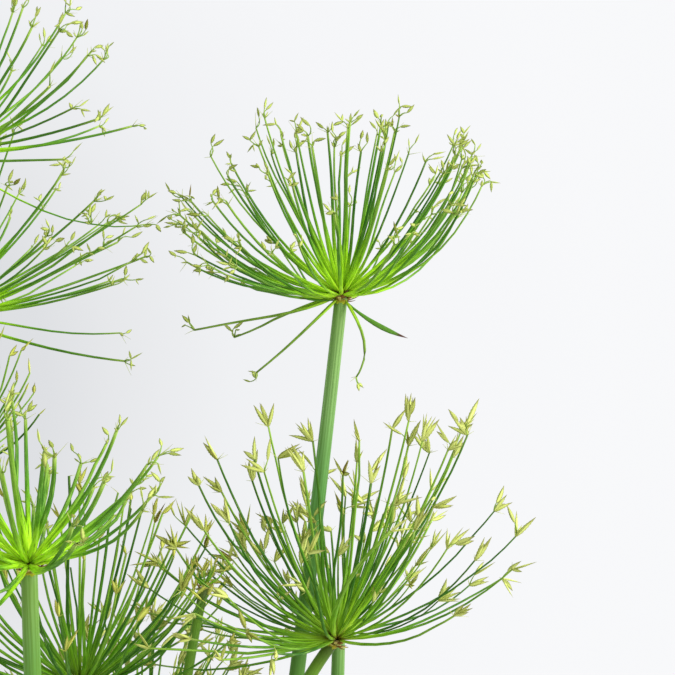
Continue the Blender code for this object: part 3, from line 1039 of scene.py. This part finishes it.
def hub_bracts(growth, hub, axis, count, size, draw):
    """Narrow brown and tan bracts that stand out round the hub."""
    across, back = square_ways(axis)
    for number in range(count):
        turn = GOLDEN_ANGLE * number
        outward = across * math.cos(turn) + back * math.sin(turn)
        length = size * draw.uniform(2.6, 6.5)
        rise = draw.uniform(0.15, 0.95)
        foot = hub + outward * (size * 1.7) - axis * (size * draw.uniform(0.2, 1.6))
        tip = foot + (outward * math.cos(rise) + axis * math.sin(rise)) * length
        bend = foot.lerp(tip, 0.5) + outward * 0.5 - axis * 0.4
        tint = draw.choice((0.1, 0.3, 0.6, 0.6, 0.6))
        blade(growth, foot, bend, tip, draw.uniform(0.6, 1.25), tint, axis)


# Two green bracts under the first umbel: foot, bend, tip and half their width
LEAFY_BRACTS = (
    ((2.5, -2, -2), (13, -5, -12), (27.7, -8, -16.9), 1.15),
    ((-2.5, -2, -1), (-9, -5, -1.5), (-17.6, -8, 0), 0.6),
)
LEAFY_TINT = 0.95
LEAFY_FACING = (0, -1, 0.3)

# A kind of ray: how far up its lime foot reaches and how bright it is (the lime partly a painted
# glow), how deep and how blue its green is, and from what tint a ray is darkened with painted
# shade, or else pale
RayKind = namedtuple("RayKind", "name lime_end bright deep blue dark_from pale_from")
FRESH_RAYS = RayKind("fresh rays", 0.26, 1.14, 1.03, 0.026, 0.50, 0.72)
RIPE_RAYS = RayKind("ripe rays", 0.14, 0.76, 0.90, 0.016, 0.36, 0.50)
WITHERED_RAYS = RayKind("withered rays", 0.08, 0.60, 1.10, 0.014, 0.42, 0.42)


def ray_paint(kind):
    """Ray green: brown foot, lime partly as painted glow, green, yellower; olive where it hangs."""
    paint = Paint(kind.name, 0.55, specular=0.06)
    along = paint.reading("along")
    # The lime near the foot is partly the ray's own colour and partly a painted glow of light shining
    # through the thin ray.
    green = paint.ramp(along, (
        (0.0, (0.120, 0.040, 0.008)),
        (0.030, (0.260, 0.200, 0.016)),
        (0.065, (0.465 * kind.bright, 0.720 * kind.bright, 0.028)),
        (kind.lime_end, (0.370 * kind.bright, 0.700 * kind.bright, 0.020)),
        (kind.lime_end + 0.22, (0.125 * kind.deep, 0.350 * kind.deep, kind.blue * 0.5)),
        (0.66, (0.082 * kind.deep, 0.240 * kind.deep, kind.blue)),
        (0.88, (0.110 * kind.deep, 0.270 * kind.deep, kind.blue)),
        (0.96, (0.240, 0.400, 0.050)),
        (1.0, (0.360, 0.500, 0.110)),
    ))
    tint = paint.reading("tint")
    hangs = paint.fade(tint, 1.5, 1.9)
    # Rays past a tint are darkened with painted shade, standing for rays in the shade of others.
    dark = paint.fade(tint, kind.dark_from, kind.dark_from + 0.5) - hangs
    dark = dark * (0.35 + paint.fade(along, 0.10, 0.4) * 0.65)
    shaded = paint.mix(dark * 0.85, green, (0.022, 0.105, 0.010))
    yellow = paint.fade(1 - tint, kind.pale_from, kind.pale_from + 0.28)
    yellow = yellow * paint.fade(along, 0.2, 0.6)
    varied = paint.mix(yellow * 0.55, shaded, (0.280, 0.490, 0.050))
    hanging = hangs * (0.3 + paint.fade(along, 0.10, 0.45) * 0.6)
    olive = paint.mix(hanging, varied, (0.190, 0.310, 0.040))
    streaks_and_highlights = paint.grain(paint.reading("fibre", "Vector"), 1.0, 3.0, 0.6)
    lined = paint.mix(paint.fade(streaks_and_highlights, 0.50, 0.62) * 0.6, olive, (0.035, 0.110, 0.008))
    # Dark lines run along the ray; the bright lime lines between them are painted highlights.
    paint.colour(paint.mix(paint.fade(1 - streaks_and_highlights, 0.55, 0.68) * 0.45, lined, (0.450, 0.700, 0.150)))
    paint.roughness(0.48 + streaks_and_highlights * 0.14)
    paint.bump(streaks_and_highlights, 0.0002, 0.5)
    return paint


def spikelet_paint(name, body, edge):
    """Spikelet scales: pale yellow-green bodies, darker edges and brown points."""
    paint = Paint(name, 0.6, specular=0.1)
    along = paint.reading("along")
    tint = paint.reading("tint")
    scales = paint.grain(paint.place(), 1500.0, 3.0)
    green = paint.mix(tint, body, edge)
    browned = paint.mix(paint.fade(tint, 1.15, 1.5) * 0.7, green, (0.200, 0.085, 0.030))
    tipped = paint.mix(paint.fade(along, 0.6, 1.0) * 0.65, browned, (0.130, 0.100, 0.028))
    paint.colour(paint.mix(paint.fade(scales, 0.5, 0.7) * 0.35, tipped, (0.640, 0.660, 0.180)))
    paint.bump(scales, 0.0002, 0.6)
    return paint


def bract_paint():
    """Bracts: brown husk, tan husk or green blade, and brown at every tip."""
    paint = Paint("bract husk", 0.6, specular=0.2)
    along = paint.reading("along")
    tint = paint.reading("tint")
    fibre = paint.grain(paint.place(), 900.0, 3.0)
    brown = paint.mix(fibre, (0.120, 0.050, 0.010), (0.340, 0.180, 0.036))
    tan = paint.mix(fibre, (0.420, 0.340, 0.070), (0.620, 0.560, 0.160))
    leaf = paint.mix(fibre, (0.055, 0.170, 0.012), (0.130, 0.300, 0.030))
    husk = paint.mix(paint.fade(tint, 0.42, 0.5), brown, tan)
    body = paint.mix(paint.fade(tint, 0.7, 0.8), husk, leaf)
    paint.colour(paint.mix(paint.fade(along, 0.80, 0.90), body, (0.075, 0.028, 0.016)))
    paint.bump(fibre, 0.0002, 0.5)
    return paint


husk = bract_paint()
fresh = spikelet_paint("fresh spikelets", (0.640, 0.740, 0.190), (0.172, 0.228, 0.024))
ripe = spikelet_paint("ripe spikelets", (0.755, 0.825, 0.250), (0.225, 0.262, 0.026))
withered = spikelet_paint("withered spikelets", (0.760, 0.810, 0.150), (0.130, 0.118, 0.006))
withered_paints = [ray_paint(WITHERED_RAYS), withered, husk]

# What makes a kind of tuft, and the materials of an umbel that has it
Tuft = namedtuple("Tuft", "make paints")
TUFTS = {
    "slender": Tuft(slender_tuft, [ray_paint(FRESH_RAYS), fresh, husk]),
    "ripe": Tuft(ripe_tuft, [ray_paint(RIPE_RAYS), ripe, husk]),
    "withered": Tuft(withered_tuft, withered_paints),
    "sparse": Tuft(sparse_tuft, withered_paints),
}

# A tuft's age and shade is 0 to 1, and makes its spikelets darker. Tufts away from the light are
# given painted shade, as if older: by how much across an umbel; and how much one tuft may differ
# from its neighbours
USUAL_AGE = 0.5
SHADY_AGE = 0.35
AGE_SPREAD = 0.4


def tuft_age_and_shade(umbel, tip, draw):
    """How old the tuft at a ray's tip is, with painted shade added away from the light."""
    age_and_shade = USUAL_AGE - SHADY_AGE * tip.x / umbel.reach
    return min(max(age_and_shade + draw.uniform(-AGE_SPREAD, AGE_SPREAD), 0), 1)


# How many bracts a hub has, and the culm's half width at which they are of usual
# size; a young umbel has fewer, and a smaller knob
HUB_BRACTS = 18
YOUNG_BRACTS = 4
YOUNG_KNOB = 0.8
USUAL_GIRTH = 2.6

for number, umbel in UMBELS.items():
    culm = CULMS[number]
    umbel_draw = random.Random(100 + number)
    hub = Vector(culm.hub)
    axis = culm_end(culm)
    guard = culm_guard(number)
    tuft = TUFTS[umbel.tuft]
    growth = Growth()
    for tip, bow in read_rays(number, umbel, hub) + spiral_rays(umbel, culm, umbel_draw):
        clear = swung_clear(hub, tip, bow, guard)
        stout = umbel.stout * umbel_draw.uniform(0.82, 1.2)
        tint = umbel_draw.random() * umbel.tints
        line = ray(growth, hub, axis, clear, ray_bend(clear, bow), stout, tint, umbel_draw)
        age_and_shade = tuft_age_and_shade(umbel, clear, umbel_draw)
        tuft.make(growth, line[-1], (line[-1] - line[-2]).normalized(), age_and_shade, umbel_draw)
    for tip, bend, tuft_way, stout, tint, more_tufts in SHAPED_RAYS.get(number, ()):
        line = ray(growth, hub, axis, Vector(tip), Vector(bend), stout, tint, umbel_draw)
        age_and_shade = tuft_age_and_shade(umbel, Vector(tip), umbel_draw)
        tuft.make(growth, line[-1], Vector(tuft_way).normalized(), age_and_shade, umbel_draw)
        for joint in more_tufts:
            tuft.make(growth, line[joint], Vector((0, 0, 1)), age_and_shade, umbel_draw)
    young = umbel.habit == "young"
    hub_knob(growth, hub, axis, culm.girth * (YOUNG_KNOB if young else 1))
    bracts = YOUNG_BRACTS if young else HUB_BRACTS
    hub_bracts(growth, hub, axis, bracts, culm.girth / USUAL_GIRTH, umbel_draw)
    if number == 1:
        for foot, bend, tip, width in LEAFY_BRACTS:
            foot, bend, tip = (hub + Vector(place) for place in (foot, bend, tip))
            blade(growth, foot, bend, tip, width, LEAFY_TINT, LEAFY_FACING)
    piece = growth.piece(f"flower_head_{number}", tuft.paints)
    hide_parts(f"umbel_{number}")
    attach(piece, "root")

# The studio: a plain pale floor, near-white air that is a shade greyer on the
# left, one broad soft light on the right, higher than the plant, and a camera
# level with the upper umbels.
FLOOR_RADIUS = 1.3
VIEW_WIDTH = 283.5
KEY_SIZE = 1.4
KEY_ENERGY = 32
KEY_PLACE = (1.45, -0.5, 1.15)
KEY_AIM = (0.02, 0, 0.35)

# Which way the grey of the air lies, and how far it spreads from there
SHADE_WAY = (-0.301, 0.953, -0.029)
SHADE_SPREAD = 0.45

floor_growth = Growth()
floor_ring = []
for turn in turns(ROUND_SIDES):
    floor_ring.append(floor_growth.point((FLOOR_RADIUS * math.cos(turn),
                                          FLOOR_RADIUS * math.sin(turn), 0)))
floor_growth.face(tuple(floor_ring))
floor_paint = Paint("pale floor", 0.7, specular=0.2)
floor_cloud = floor_paint.grain(floor_paint.place(), 6.0)
floor_paint.colour(floor_paint.mix(floor_cloud, (0.63, 0.63, 0.64), (0.68, 0.68, 0.69)))
floor = floor_growth.piece("floor", [floor_paint])

scene = bpy.context.scene
world = bpy.data.worlds.new("studio air")
scene.world = world
world.use_nodes = True
air = Mixing(world.node_tree)
way = air.node("ShaderNodeTexCoord", {}, {}, "Generated")
away = air.node("ShaderNodeVectorMath", {"operation": "DISTANCE"},
                {"Vector": way, "Vector_001": SHADE_WAY}, "Value")
air_colour = air.ramp(away * (1 / SHADE_SPREAD), (
    (0.0, (0.680, 0.695, 0.720)),
    (0.32, (0.735, 0.748, 0.772)),
    (0.40, (0.795, 0.805, 0.825)),
    (0.55, (0.870, 0.880, 0.900)),
    (0.75, (0.917, 0.923, 0.942)),
    (1.0, (0.938, 0.944, 0.960)),
))
air.tree.links.new(air_colour.socket, air.tree.nodes["Background"].inputs["Color"])

key = bpy.data.lights.new("key", "AREA")
key.shape = "DISK"
key.size = KEY_SIZE
key.energy = KEY_ENERGY
key_object = bpy.data.objects.new("key", key)
key_object.location = KEY_PLACE
key_way = Vector(KEY_AIM) - key_object.location
key_object.rotation_euler = key_way.to_track_quat("-Z", "Y").to_euler()
scene.collection.objects.link(key_object)

camera = bpy.data.cameras.new("camera")
camera.lens = camera.sensor_width * CAMERA_DISTANCE / VIEW_WIDTH
camera_object = bpy.data.objects.new("camera", camera)
camera_object.location = Vector((CAMERA_ACROSS, -CAMERA_DISTANCE, CAMERA_HEIGHT)) * MM
camera_object.rotation_euler = (math.pi / 2, 0, 0)
scene.collection.objects.link(camera_object)
scene.camera = camera_object
scene.view_settings.view_transform = "Standard"
